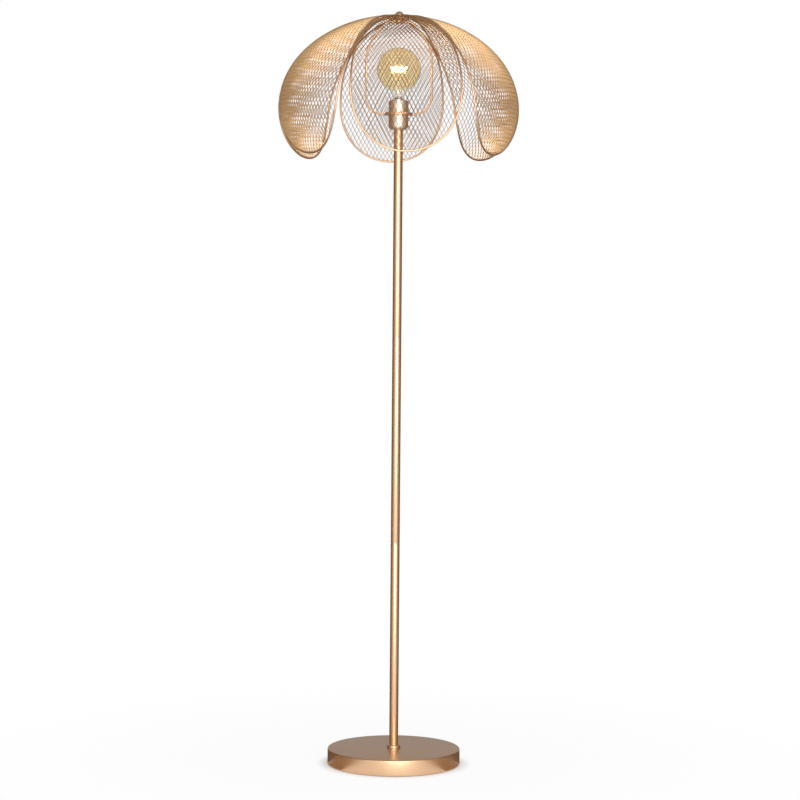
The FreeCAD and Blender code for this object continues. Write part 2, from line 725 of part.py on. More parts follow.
# The globe's shell is turned through this many degrees, wider than a petal, and the pyramid that cuts the panel out
# of it has its outline and its far peak beyond the shell by these factors.
PANEL_SECTOR = 80
PYRAMID_REACH = 1.2
PYRAMID_PEAK = 2


def outline(step):
    """(along, across) of the outline: from the inner end down one side to the tip, then up the other side."""
    if step > SIDE_STEPS:
        along, across = outline(2 * SIDE_STEPS - step)
        return along, -across
    if step < 0:
        along, across = outline(-step)
        return along, -across
    if step <= ROOT_STEPS:
        angle = math.pi / 2 * step / ROOT_STEPS
        return START + ROOT * (1 - math.cos(angle)), ROOT * math.sin(angle)
    if step <= ROOT_STEPS + FLANK_STEPS:
        along = START + ROOT + (WIDEST - START - ROOT) * (step - ROOT_STEPS) / FLANK_STEPS
        return along, half_width(along)
    angle = math.pi / 2 * (step - ROOT_STEPS - FLANK_STEPS) / TIP_STEPS
    return WIDEST + (TIP - WIDEST) * math.sin(angle), HALF_WIDTH * math.cos(angle)


def arc_from(start, corner, end):
    """The arc that touches both legs of a corner whose legs are equally long."""
    weight = (end - start).Length / (2 * (corner - start).Length)
    middle = ((start + end) / 2 + corner * weight) / (1 + weight)
    return Part.Arc(start, middle, end)


def biarc(start, start_way, end, end_way):
    """Two arcs that leave start along start_way, meet smoothly and arrive at end along end_way."""
    chord = end - start
    ways = start_way + end_way
    spread = 2 * (1 - start_way.dot(end_way))
    reach = chord.dot(ways)
    leg = (math.sqrt(reach ** 2 + spread * chord.dot(chord)) - reach) / spread
    corner_start = start + start_way * leg
    corner_end = end - end_way * leg
    middle = (corner_start + corner_end) / 2
    return [arc_from(start, corner_start, middle), arc_from(middle, corner_end, end)]


def rim_arcs():
    nudge = 0.01
    places = []
    for step in range(2 * SIDE_STEPS):
        way = on_surface(*outline(step + nudge)) - on_surface(*outline(step - nudge))
        places.append((on_surface(*outline(step)), way.normalize()))
    arcs = []
    for i, (point, way) in enumerate(places):
        following, following_way = places[(i + 1) % len(places)]
        arcs += biarc(point, way, following, following_way)
    return arcs


def rim_solid():
    edges = [arc.toShape() for arc in rim_arcs()]
    least = min(edge.Curve.Radius for edge in edges)
    print("  petal rim: least bend radius %.1f for a wire of radius %.1f" % (least, size("rim_wire")))
    return swept(edges, size("rim_wire"))


def mesh_solid():
    """The panel, without its small gaps: the part of the globe's shell inside a pyramid through the petal's outline."""
    thickness = size("mesh_thickness")
    top = angle_at(START) / 2
    bottom = angle_at(TIP) + angle_at(START)

    def section(offset):
        ellipse = Part.Ellipse(MIDDLE + Vector(RADIUS + offset, 0, 0), MIDDLE + Vector(0, 0, RISE + offset), MIDDLE)
        return ellipse.toShape(math.pi / 2 - bottom, math.pi / 2 - top)

    outer, inner = section(thickness / 2), section(-thickness / 2)
    ends = [Part.makeLine(outer.Vertexes[i].Point, inner.Vertexes[i].Point) for i in (0, 1)]
    profile = Part.Face(Part.Wire(Part.__sortEdges__([outer, inner] + ends)))
    profile.rotate(MIDDLE, Vector(0, 0, 1), -90 - PANEL_SECTOR / 2)
    shell = profile.revolve(MIDDLE, Vector(0, 0, 1), PANEL_SECTOR)

    border = [on_surface(*outline(step)) for step in range(2 * SIDE_STEPS)]
    far = [MIDDLE + (point - MIDDLE) * PYRAMID_REACH for point in border]
    peak = MIDDLE + (on_surface((START + TIP) / 2, 0) - MIDDLE) * PYRAMID_PEAK
    sides = []
    for i, point in enumerate(far):
        after = far[(i + 1) % len(far)]
        sides.append(Part.Face(Part.makePolygon([MIDDLE, point, after, MIDDLE])))
        sides.append(Part.Face(Part.makePolygon([peak, after, point, peak])))
    solid = shell.common(Part.Solid(Part.makeShell(sides))).Solids[0]
    if solid.Volume < 0:
        solid.reverse()
    print("  mesh panel: volume over thickness %.0f mm2" % (solid.Volume / thickness))
    return solid


def petal_pieces():
    tab_slot = cylinder("petal_tab_slot", "tab_bore", "tab_thickness", ("0", "0", TAB_FLOOR))
    rim = rim_solid()
    mesh = mesh_solid()
    tabs, rims, meshes = [], [], []
    for i in range(COUNT):
        turn = size("petal_turn") + 360 / COUNT * i
        around = Placement(Vector(0, 0, 0), Rotation(Vector(0, 0, 1), turn))
        sector = cylinder("petal_sector_%d" % (i + 1), "tab_radius", "tab_thickness", ("0", "0", TAB_FLOOR))
        sector.setExpression("Angle", bind("tab_angle"))
        sector.Placement.Rotation = Rotation(Vector(0, 0, 1), turn - 90 - size("tab_angle") / 2)
        tabs.append(cut("petal_tab_%d" % (i + 1), sector, tab_slot))
        rims.append(shaped("petal_rim_%d" % (i + 1), rim.copy()))
        rims[-1].Placement = around
        meshes.append(shaped("petal_mesh_%d" % (i + 1), mesh.copy()))
        meshes[-1].Placement = around
    for piece in tabs + rims + meshes:
        keep(piece)


def check_and_write():
    doc.recompute()
    for item in doc.Objects:
        if "Invalid" in item.State or "Error" in item.State:
            raise RuntimeError("%s has failed: %s" % (item.Label, item.State))
    for piece in pieces:
        shape = piece.Shape
        if shape.isNull() or not shape.isValid() or not shape.Solids:
            raise RuntimeError("%s has no valid solid" % piece.Label)
    os.makedirs("parts", exist_ok=True)
    for piece in pieces:
        piece.Shape.exportStep(os.path.join("parts", piece.Label + ".step"))
        print("%-22s %2d solid(s), %10.1f mm3" % (piece.Label, len(piece.Shape.Solids), piece.Shape.Volume))
    print("%d pieces" % len(pieces))


base_pieces()
inlet_pieces()
terminal_pieces()
lead_pieces()
pole_pieces()
holder_pieces()
contact_piece()
bulb_pieces()
harp_pieces()
petal_pieces()
check_and_write()
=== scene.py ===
import json
import math

import bmesh
import bpy
from mathutils import Matrix, Vector

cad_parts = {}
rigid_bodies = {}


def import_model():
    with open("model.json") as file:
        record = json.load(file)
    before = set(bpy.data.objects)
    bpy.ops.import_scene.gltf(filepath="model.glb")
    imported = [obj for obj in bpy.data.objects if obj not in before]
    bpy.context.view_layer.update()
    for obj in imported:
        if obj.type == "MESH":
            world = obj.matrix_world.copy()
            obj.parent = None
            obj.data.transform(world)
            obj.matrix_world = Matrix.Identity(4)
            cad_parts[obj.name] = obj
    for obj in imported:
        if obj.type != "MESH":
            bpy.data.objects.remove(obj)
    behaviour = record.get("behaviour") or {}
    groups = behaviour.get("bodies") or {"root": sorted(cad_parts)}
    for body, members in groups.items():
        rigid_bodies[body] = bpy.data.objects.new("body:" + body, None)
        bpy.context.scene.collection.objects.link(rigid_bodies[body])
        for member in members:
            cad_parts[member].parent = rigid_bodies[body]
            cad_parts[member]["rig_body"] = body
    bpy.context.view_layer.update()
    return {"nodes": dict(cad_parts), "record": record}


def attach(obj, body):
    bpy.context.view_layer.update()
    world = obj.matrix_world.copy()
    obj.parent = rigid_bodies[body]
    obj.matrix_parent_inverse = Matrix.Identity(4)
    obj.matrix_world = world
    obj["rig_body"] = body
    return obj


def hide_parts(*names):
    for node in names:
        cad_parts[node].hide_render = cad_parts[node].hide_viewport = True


# Wire cage floor lamp: weighted base, pole in three sections, holder with a globe bulb, and six mesh petals.
# Lengths in the functions are in millimetres and are turned to metres where a mesh is made.

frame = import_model()
nodes = frame["nodes"]

MM = 0.001
UP = Vector((0, 0, 1))

# Heights and radii that several pieces share.
BASE_TOP = 34
BASE_RADIUS = 140
COVER_WALL = 1.2
BORE = 5
INLET_LEVEL = 11.5
POLE_RADIUS = 9.5
POLE_INSIDE = 8.3
POLE_SEAM = 0.5
HOLDER_RADIUS = 20.75
HOLDER_INSIDE = 19.55
NUT_INSIDE = 3.05
SECTION = 434.7
POLE_TOP = BASE_TOP + 3 * SECTION
CUP_RIM = POLE_TOP + 31
SHOULDER = CUP_RIM + 2
SHELL_TOP = SHOULDER + 27.6
CAP_FOOT = 1379.4
GLOBE_LEVEL = 1464
STEM_TOP = 1440
STEM_TIP = 2
FILAMENTS = 8
FILAMENT = 1.9
FAN_INSIDE = 5
FAN_OUTSIDE = 18
FAN_RISE = 5
FINIAL_SEAT = 1574.55


# ---- modelling ----

def deselect():
    bpy.ops.object.select_all(action="DESELECT")


def edit(kind, test):
    """Edit mode on the active piece with only those vertices or faces selected that pass the test."""
    bpy.ops.object.mode_set(mode="EDIT")
    bpy.ops.mesh.select_all(action="DESELECT")
    bpy.ops.mesh.select_mode(type=kind)
    mesh = bmesh.from_edit_mesh(bpy.context.object.data)
    for item in {"VERT": mesh.verts, "FACE": mesh.faces}[kind]:
        item.select_set(test(item))
    bmesh.update_edit_mesh(bpy.context.object.data)


def done():
    bpy.ops.object.mode_set(mode="OBJECT")


def named(name):
    """The piece just made, with its place in its mesh."""
    piece = bpy.context.object
    piece.name = name
    piece.data.name = name
    bpy.ops.object.transform_apply(location=True, rotation=True, scale=True)
    return piece


def apply_modifier(piece, kind, **settings):
    modifier = piece.modifiers.new(kind.title(), kind)
    for name, value in settings.items():
        setattr(modifier, name, value)
    bpy.context.view_layer.objects.active = piece
    bpy.ops.object.modifier_apply(modifier=modifier.name)


def smooth(piece, angle=32):
    deselect()
    piece.select_set(True)
    bpy.context.view_layer.objects.active = piece
    bpy.ops.object.shade_smooth_by_angle(angle=math.radians(angle))


def outward(piece):
    """Joins loose seams and turns every face outwards."""
    bpy.context.view_layer.objects.active = piece
    bpy.ops.object.mode_set(mode="EDIT")
    bpy.ops.mesh.select_all(action="SELECT")
    bpy.ops.mesh.remove_doubles(threshold=0.00001)
    bpy.ops.mesh.normals_make_consistent(inside=False)
    bpy.ops.object.mode_set(mode="OBJECT")


def rounded(corners, steps=5):
    """The outline of a turned piece, from (radius, height) or (radius, height, round) corners."""
    points = []
    for i, corner in enumerate(corners):
        here = Vector(corner[:2])
        if len(corner) < 3:
            points.append(here)
            continue
        before = (Vector(corners[i - 1][:2]) - here).normalized()
        after = (Vector(corners[(i + 1) % len(corners)][:2]) - here).normalized()
        half = before.angle(after) / 2
        reach = corner[2] / math.tan(half)
        middle = here + (before + after).normalized() * corner[2] / math.sin(half)
        start, end = here + before * reach - middle, here + after * reach - middle
        sweep = start.angle_signed(end)
        for step in range(steps + 1):
            spot = start.copy()
            spot.rotate(Matrix.Rotation(-sweep * step / steps, 2))
            points.append(middle + spot)
    return points


def turned(name, corners, segments=96, steps=5, closed=True):
    """A piece of round section, drawn out ring by ring. An open outline ends on the axis."""
    points = rounded(corners, steps)
    deselect()
    first = points[0]
    bpy.ops.mesh.primitive_circle_add(vertices=segments, radius=max(first.x, 0.01) * MM,
                                      location=(0, 0, first.y * MM))
    bpy.ops.object.mode_set(mode="EDIT")
    bpy.ops.mesh.select_all(action="SELECT")
    last = first
    for point in points[1:] + ([first] if closed else []):
        ratio = max(point.x, 0.01) / max(last.x, 0.01)
        bpy.ops.mesh.extrude_region_move(TRANSFORM_OT_translate={"value": (0, 0, (point.y - last.y) * MM)})
        bpy.ops.transform.resize(value=(ratio, ratio, 1), center_override=(0, 0, point.y * MM))
        last = point
    bpy.ops.object.mode_set(mode="OBJECT")
    piece = named(name)
    outward(piece)
    bpy.ops.object.mode_set(mode="EDIT")
    bpy.ops.mesh.select_all(action="SELECT")
    bpy.ops.mesh.remove_doubles(threshold=0.03 * MM)
    bpy.ops.mesh.dissolve_degenerate(threshold=0.01 * MM)
    bpy.ops.object.mode_set(mode="OBJECT")
    smooth(piece)
    return piece


def stand_in(piece, finish, slot, *replaced):
    """Gives the piece its finish, and lets it ride where the CAD nodes that it stands for ride."""
    piece.data.materials.clear()
    piece.data.materials.append(finish)
    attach(piece, nodes[replaced[0]]["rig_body"])
    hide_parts(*replaced)
    return piece


# ---- finishes ----

class Value:
    """A socket of a finish; arithmetic on it adds Math nodes."""

    def __init__(self, finish, socket):
        self.finish = finish
        self.socket = socket

    def reckon(self, operation, first, second):
        return self.finish.reckon(operation, first, second)

    def __add__(self, other):
        return self.reckon("ADD", self, other)

    def __radd__(self, other):
        return self.reckon("ADD", other, self)

    def __sub__(self, other):
        return self.reckon("SUBTRACT", self, other)

    def __rsub__(self, other):
        return self.reckon("SUBTRACT", other, self)

    def __mul__(self, other):
        return self.reckon("MULTIPLY", self, other)

    def __rmul__(self, other):
        return self.reckon("MULTIPLY", other, self)


class Nodes:
    """The nodes of a material or of the world, being put together."""

    def __init__(self, owner):
        self.owner = owner
        owner.use_nodes = True
        self.tree = owner.node_tree
        self.tree.nodes.clear()

    def add(self, kind, settings=None, inputs=None, output=0):
        node = self.tree.nodes.new(kind)
        for name, value in (settings or {}).items():
            setattr(node, name, value)
        for key, value in (inputs or {}).items():
            self.feed(node.inputs[key], value)
        return Value(self, node.outputs[output]) if len(node.outputs) else node

    def feed(self, socket, value):
        if isinstance(value, Value):
            self.tree.links.new(value.socket, socket)
        else:
            socket.default_value = value

    def reckon(self, operation, first, second):
        return self.add("ShaderNodeMath", {"operation": operation}, {0: first, 1: second})

    def spread(self, value, low, high, out_low, out_high):
        """The value's range from low to high, laid over the range from out_low to out_high."""
        return self.add("ShaderNodeMapRange", {"clamp": True}, {
            "Value": value, "From Min": low, "From Max": high, "To Min": out_low, "To Max": out_high,
        })


class Finish(Nodes):
    """A finish in the making, on Object coordinates."""

    def __init__(self, name, **constants):
        super().__init__(bpy.data.materials.new(name))
        self.shader = self.tree.nodes.new("ShaderNodeBsdfPrincipled")
        self.add("ShaderNodeOutputMaterial", None, {"Surface": Value(self, self.shader.outputs[0])})
        self.place = self.add("ShaderNodeTexCoord", output="Object")
        for key, value in constants.items():
            self.shader.inputs[key.replace("_", " ").title().replace("Ior", "IOR")].default_value = value

    def put(self, name, value):
        self.feed(self.shader.inputs[name], value)

    def noise(self, scale, detail=2.0, roughness=0.5, place=None):
        return self.add("ShaderNodeTexNoise", None, {
            "Vector": place or self.place, "Scale": scale, "Detail": detail, "Roughness": roughness,
        })

    def blend(self, share, first, second):
        """A colour between two colours."""
        return self.add("ShaderNodeMix", {"data_type": "RGBA"}, {0: share, 6: first, 7: second}, output=2)

    def height(self):
        return self.add("ShaderNodeSeparateXYZ", None, {0: self.place}, output=2)

    def stretched(self, x, y, z):
        return self.add("ShaderNodeMapping", None, {"Vector": self.place, "Scale": (x, y, z)})

    def bump(self, height, strength, distance):
        self.put("Normal", self.add("ShaderNodeBump", None,
                                    {"Height": height, "Strength": strength, "Distance": distance}))


def rgb(red, green, blue):
    return (red, green, blue, 1)


def copper_gold_paint(name, base_roughness, flake, dull=(0.75, 0.46, 0.255), clear=(0.78, 0.485, 0.275)):
    """Satin metallic lacquer: fine flake, a faint orange peel and a little unevenness from spraying."""
    f = Finish(name, metallic=0.92, coat_weight=0.8, coat_roughness=0.28)
    cloud = f.noise(9, 3)
    grain = f.noise(flake, 1)
    tone = f.blend(f.spread(cloud, 0.35, 0.65, 0, 1), rgb(*dull), rgb(*clear))
    f.put("Base Color", f.blend(f.spread(grain, 0.4, 0.75, 0, 0.35), tone, rgb(0.93, 0.68, 0.46)))
    fine = f.spread(grain, 0.3, 0.7, base_roughness - 0.05, base_roughness + 0.06)
    f.put("Roughness", fine + (cloud - 0.5) * 0.03)
    f.bump(f.noise(420, 2) + grain * 0.4, 0.06, 0.0002)
    return f.owner


def metal(name, colour, dark, roughness, scale, brushed=(1, 1, 1)):
    """Bare or plated metal with fine machining marks and slight tarnish."""
    f = Finish(name, metallic=1.0)
    marks = f.noise(scale, 3, 0.6, f.stretched(*brushed))
    stain = f.noise(60, 4)
    f.put("Base Color", f.blend(f.spread(stain, 0.45, 0.75, 0, 1), rgb(*colour), rgb(*dark)))
    f.put("Roughness", f.spread(marks, 0.3, 0.7, roughness - 0.06, roughness + 0.1))
    f.bump(marks, 0.15, 0.0002)
    return f.owner


def solid_stuff(name, colour, other, roughness, scale, depth, strength=0.25, **constants):
    """Plastic, rubber, porcelain or cast iron: a grain at its own scale."""
    f = Finish(name, **constants)
    grain = f.noise(scale, 3)
    cloud = f.noise(scale / 12, 2)
    f.put("Base Color", f.blend(f.spread(cloud, 0.35, 0.65, 0, 1), rgb(*colour), rgb(*other)))
    f.put("Roughness", f.spread(grain, 0.3, 0.7, roughness - 0.07, roughness + 0.07))
    f.bump(grain, strength, depth)
    return f.owner


def tinted_glass(name, tint, streak, roughness):
    """Blown glass with a faint ripple. Its tint fades out towards the neck."""
    f = Finish(name, transmission_weight=1.0, ior=1.46)
    ripple = f.noise(28, 1, 0.4, f.stretched(1, 1, 0.45))
    colour = f.blend(f.spread(ripple, 0.35, 0.7, 0, 1), rgb(*tint), rgb(*streak))
    coated = f.spread(f.height(), (GLOBE_LEVEL - 48) * MM, (GLOBE_LEVEL - 34) * MM, 0, 1)
    f.put("Base Color", f.blend(coated, rgb(0.985, 0.975, 0.95), colour))
    f.put("Roughness", f.spread(f.noise(300, 1), 0.3, 0.7, roughness, roughness + 0.008))
    f.bump(ripple, 0.04, 0.001)
    return f.owner


def glowing_filament():
    """Phosphor-coated rod, lit from just below the globe's middle upwards; the leads below stay dark."""
    f = Finish("lit_phosphor", roughness=0.6)
    speck = f.noise(900, 1)
    f.put("Base Color", f.blend(speck, rgb(0.95, 0.75, 0.35), rgb(0.9, 0.62, 0.22)))
    glow = f.blend(f.spread(speck, 0.3, 0.7, 0, 1), rgb(1, 0.8, 0.42), rgb(1, 0.88, 0.58))
    lit = f.spread(f.height(), (GLOBE_LEVEL - 6) * MM, (GLOBE_LEVEL - 4) * MM, 0, 1)
    f.put("Emission Color", f.blend(lit, rgb(0, 0, 0), glow))
    f.shader.inputs["Emission Strength"].default_value = 22
    return f.owner


FINISHES = {
    "satin_paint": copper_gold_paint("satin_copper_gold", 0.34, 1500),
    # The mesh gets a darker copy of the same copper-gold lacquer: painted shade standing in for the shade on the
    # strands' sides.
    "mesh_paint": copper_gold_paint("satin_copper_gold_mesh", 0.38, 1500,
                                    (0.58, 0.35, 0.15), (0.64, 0.395, 0.175)),
    "polished_brass": metal("polished_brass", (0.83, 0.58, 0.27), (0.7, 0.46, 0.2), 0.16, 400),
    "cast_weight": solid_stuff("cast_iron", (0.07, 0.07, 0.072), (0.045, 0.043, 0.042), 0.7, 350, 0.0008, 0.5,
                               metallic=0.4),
    "pad": solid_stuff("dark_felt", (0.035, 0.033, 0.032), (0.055, 0.052, 0.05), 0.92, 1400, 0.0006, 0.6),
    "zinc_steel": metal("zinc_plated_steel", (0.66, 0.67, 0.69), (0.5, 0.51, 0.54), 0.3, 500),
    "inlet_plastic": solid_stuff("inlet_plastic", (0.03, 0.03, 0.032), (0.042, 0.042, 0.044),
                                 0.45, 900, 0.0002),
    "terminal_plastic": solid_stuff("terminal_plastic", (0.78, 0.77, 0.73), (0.7, 0.69, 0.66),
                                    0.4, 700, 0.0002),
    "lead_sheath": solid_stuff("lead_sheath", (0.62, 0.57, 0.47), (0.55, 0.5, 0.41), 0.5, 800, 0.0002),
    "porcelain": solid_stuff("glazed_porcelain", (0.82, 0.8, 0.75), (0.76, 0.74, 0.69), 0.18, 220, 0.0003,
                             coat_weight=0.6, coat_roughness=0.08),
    "brass_sheet": metal("brass_sheet", (0.8, 0.56, 0.26), (0.66, 0.44, 0.19), 0.28, 600, (1, 1, 6)),
    "amber_glass": tinted_glass("amber_glass", (0.95, 0.86, 0.66), (0.93, 0.82, 0.58), 0.0),
    "clear_glass": tinted_glass("clear_glass", (0.98, 0.98, 0.96), (0.96, 0.96, 0.94), 0.015),
    "black_glass": solid_stuff("black_glass", (0.012, 0.012, 0.014), (0.02, 0.02, 0.022), 0.12, 300, 0.0002),
    "nickel_cap": metal("nickel_plate", (0.74, 0.71, 0.66), (0.62, 0.58, 0.53), 0.22, 500, (1, 1, 8)),
    "solder_tip": metal("solder", (0.6, 0.6, 0.62), (0.45, 0.45, 0.48), 0.42, 300),
    "lit_filament": glowing_filament(),
}

# The holder gets a paler copy of the same satin paint: painted highlight standing in for the bright reflection on
# it.
LIT_HOLDER_PAINT = copper_gold_paint("satin_pale_gold", 0.32, 1500, (0.88, 0.74, 0.58), (0.9, 0.78, 0.62))

for slot_row in frame["record"]["materials"]:
    slot_finish = FINISHES[slot_row["slot"]]
    for node in nodes.values():
        for place in node.material_slots:
            if place.material and place.material.name.split(".")[0] == slot_row["slot"]:
                place.material = slot_finish


# ---- base, pole and holder ----

def base_pieces():
    paint = FINISHES["satin_paint"]
    cover = turned("base_shell", [
        (BORE, BASE_TOP - COVER_WALL), (BORE, BASE_TOP), (BASE_RADIUS, BASE_TOP, 3), (BASE_RADIUS, 1, 0.5),
        (BASE_RADIUS - COVER_WALL, 1, 0.5), (BASE_RADIUS - COVER_WALL, BASE_TOP - COVER_WALL, 1.8),
    ], 192)
    deselect()
    bpy.ops.mesh.primitive_cylinder_add(vertices=32, radius=BORE * MM, depth=60 * MM,
                                        location=(0, BASE_RADIUS * MM, INLET_LEVEL * MM),
                                        rotation=(math.radians(90), 0, 0))
    drill = bpy.context.object
    apply_modifier(cover, "BOOLEAN", object=drill, operation="DIFFERENCE", solver="EXACT")
    bpy.data.objects.remove(drill)
    smooth(cover)
    stand_in(cover, paint, "satin_paint", "base_cover")

    outside, height = 14.3, 6.5
    collar = turned("pole_collar", [
        (POLE_RADIUS, BASE_TOP), (outside, BASE_TOP, 0.6), (outside, BASE_TOP + height, 3.2),
        (POLE_RADIUS, BASE_TOP + height, 0.4),
    ], 96, 7)
    stand_in(collar, paint, "satin_paint", "base_collar")


def pole_pieces():
    for i, node in enumerate(("pole_lower", "pole_middle", "pole_upper")):
        bottom = BASE_TOP + i * SECTION + (POLE_SEAM if i else 0)
        top = BASE_TOP + (i + 1) * SECTION - (POLE_SEAM if i < 2 else 0)
        tube = turned(node + "_tube", [
            (POLE_INSIDE, bottom), (POLE_RADIUS, bottom, 0.3), (POLE_RADIUS, top, 0.3), (POLE_INSIDE, top),
        ], 64, 3)
        stand_in(tube, FINISHES["satin_paint"], "satin_paint", node)


def holder_pieces():
    cup = turned("holder_lower_cup", [
        (BORE, POLE_TOP), (HOLDER_RADIUS, POLE_TOP, 9), (HOLDER_RADIUS, CUP_RIM, 0.5),
        (HOLDER_INSIDE, CUP_RIM), (HOLDER_INSIDE, POLE_TOP + COVER_WALL, 7.8), (BORE, POLE_TOP + COVER_WALL),
    ], 96, 8)
    stand_in(cup, LIT_HOLDER_PAINT, "satin_paint", "holder_cup")

    groove, groove_floor = SHELL_TOP - 3.2, 20.25
    skirt, inside, mouth, roof = CUP_RIM - 7, 18.35, 15.2, SHELL_TOP - 1.5
    shell = turned("holder_upper_shell", [
        (inside, skirt), (HOLDER_INSIDE, skirt, 0.3),
        (HOLDER_INSIDE, SHOULDER), (HOLDER_RADIUS, SHOULDER, 0.4),
        (HOLDER_RADIUS, groove - 0.6, 0.2), (groove_floor, groove - 0.4, 0.2),
        (groove_floor, groove + 0.4, 0.2), (HOLDER_RADIUS, groove + 0.6, 0.2),
        (HOLDER_RADIUS, SHELL_TOP, 0.75), (mouth, SHELL_TOP, 0.5), (mouth, roof, 0.4), (inside, roof),
    ], 96, 4)
    stand_in(shell, LIT_HOLDER_PAINT, "satin_paint", "holder_shell")

    bottom = SHOULDER + 0.05
    inside, outside, rib_foot, height = 20.8, 28.5, 27.9, 3
    ribs = 60
    ring = turned("knurled_ring", [
        (inside, bottom), (outside, bottom, 0.4),
        (outside, bottom + height, 0.4), (inside, bottom + height, 0.2),
    ], ribs * 4, 2)
    for corner in ring.data.vertices:
        place_in_rib = math.atan2(corner.co.y, corner.co.x) / (2 * math.pi) * ribs % 1
        if math.hypot(corner.co.x, corner.co.y) > rib_foot * MM and place_in_rib > 0.45:
            corner.co.xy *= rib_foot / outside
    stand_in(ring, FINISHES["satin_paint"], "satin_paint", "shade_ring")


def arc(middle, radius, start, end, steps):
    """Points of an outline on a circle about (radius, height), from one angle to another in degrees."""
    angles = [math.radians(start + (end - start) * i / steps) for i in range(steps + 1)]
    return [(middle[0] + radius * math.cos(a), middle[1] + radius * math.sin(a)) for a in angles]


def bulb_pieces():
    globe, neck, wall = 46, 12.6, 0.8
    bottom, flare_start = 1396, 1402
    rise = GLOBE_LEVEL - flare_start
    flare = (globe ** 2 - neck ** 2 - rise ** 2) / (2 * (neck - globe))
    lean = math.degrees(math.atan2(rise, neck + flare))
    outside = (arc((0, GLOBE_LEVEL), globe, 90, -lean, 48)
               + arc((neck + flare, flare_start), flare, 180 - lean, 180, 10)[1:] + [(neck, bottom)])
    inside = (arc((0, GLOBE_LEVEL), globe - wall, 90, -lean, 48)
              + arc((neck + flare, flare_start), flare + wall, 180 - lean, 180, 10)[1:]
              + [(neck - wall, bottom)])
    glass = turned("globe_glass", outside + inside[::-1], 128, closed=False)
    stand_in(glass, FINISHES["amber_glass"], "amber_glass", "bulb_glass")

    pitch, crest = 3.629, 13.15
    low, high = CAP_FOOT + 2.6, CAP_FOOT + 17.5
    rings = [(crest - 0.45, low + (high - low) * i / 56) for i in range(57)]
    cap = turned("threaded_cap", [
        (11, CAP_FOOT), (11.5, CAP_FOOT), (12.4, CAP_FOOT + 1.3)] + rings + [
        (crest, CAP_FOOT + 19, 0.4), (crest, CAP_FOOT + 21.6), (crest - 0.5, CAP_FOOT + 21.6),
        (crest - 1.5, CAP_FOOT + 18), (crest - 1.5, CAP_FOOT + 2.1), (11, CAP_FOOT + 0.5),
    ], 72, 2)
    for corner in cap.data.vertices:
        reach = math.hypot(corner.co.x, corner.co.y)
        height = corner.co.z / MM
        if reach > 12.6 * MM and low <= height <= high:
            fade = min(1, (height - low) / 2, (high - height) / 2)
            wave = math.cos(2 * math.pi * height / pitch - math.atan2(corner.co.y, corner.co.x))
            corner.co.xy *= (crest - 0.45 + 0.45 * wave * fade) * MM / reach
    stand_in(cap, FINISHES["nickel_cap"], "nickel_cap", "bulb_cap")


def rod_between(start, end, radius):
    """A rod with rounded ends between two points."""
    way = end - start
    deselect()
    turn = way.to_track_quat("Z", "Y").to_euler()
    bpy.ops.mesh.primitive_cylinder_add(vertices=16, radius=radius * MM, depth=way.length * MM,
                                        location=(start + end) / 2 * MM, rotation=turn)
    rod = named("rod")
    apply_modifier(rod, "BEVEL", width=radius * 0.45 * MM, segments=3, limit_method="ANGLE", angle_limit=1)
    return rod


def filament_pieces():
    """The lit rods: a fan level with the globe's middle, on slim leads from the top of the stem."""
    rods = []
    for i in range(FILAMENTS):
        bearing = 2 * math.pi * (i + 0.5) / FILAMENTS
        out = Vector((math.cos(bearing), math.sin(bearing), 0))
        low = out * FAN_INSIDE + UP * (GLOBE_LEVEL - FAN_RISE)
        high = out * FAN_OUTSIDE + UP * (GLOBE_LEVEL + FAN_RISE)
        rods.append(rod_between(low, high, FILAMENT))
        rods.append(rod_between(out * STEM_TIP + UP * STEM_TOP, low, FILAMENT / 5))
    deselect()
    for rod in rods:
        rod.select_set(True)
    bpy.context.view_layer.objects.active = rods[0]
    bpy.ops.object.join()
    fan = named("filament_fan")
    smooth(fan)
    stand_in(fan, FINISHES["lit_filament"], "lit_filament", "bulb_filaments")


def finial_pieces():
    foot = FINIAL_SEAT + 1.45
    washer_radius = 10
    washer = turned("dome_washer", [
        (NUT_INSIDE, FINIAL_SEAT), (washer_radius, FINIAL_SEAT, 0.35),
        (washer_radius, foot, 0.5), (NUT_INSIDE, foot),
    ], 64, 3)
    stand_in(washer, FINISHES["satin_paint"], "satin_paint", "finial_washer")
    radius, skirt, rise, thread_end, steps = 9, foot + 1, 8, foot + 6.5, 14
    angles = [math.pi / 2 * i / steps for i in range(1, steps + 1)]
    dome = turned("domed_nut", [
        (0, thread_end), (NUT_INSIDE, thread_end), (NUT_INSIDE, foot), (radius, foot, 0.4), (radius, skirt),
    ] + [(radius * math.cos(a), skirt + rise * math.sin(a)) for a in angles], 64, 3, closed=False)
    stand_in(dome, FINISHES["satin_paint"], "satin_paint", "finial")


# ---- petals ----
# A petal lies on a flattened globe. Its outline is drawn in two lengths measured on that surface: along, from the
# axis down the petal's middle line, and across, from the middle line.

PETALS = 6
PETAL_TURN = 4
SHADE_RADIUS = 250
SHADE_RISE = 193.5
SHADE_LEVEL = 1382
START = 18
ROOT = 6
WIDEST = 325
TIP = 457
HALF_WIDTH = 112
FLANK_START = 0.574
FLANK_POWER = 2.5
WEAVE_WIDTH = 8.9
WEAVE_LENGTH = 17.8
STRAND = 1.05
STRAND_RISE = 1.9
WEAVE_CELLS = 54
WEAVE_WELD = 2.2
RIM_COVER = 0.8

LENGTH_STEPS = 1600
LAST_ANGLE = math.radians(130)


def meridian():
    """Lengths down a petal's middle line at even angles from the top."""
    step = LAST_ANGLE / LENGTH_STEPS
    lengths = [0.0]
    for i in range(LENGTH_STEPS):
        angle = (i + 0.5) * step
        slope = math.hypot(SHADE_RADIUS * math.cos(angle), SHADE_RISE * math.sin(angle))
        lengths.append(lengths[-1] + step * slope)
    return lengths


LENGTHS = meridian()


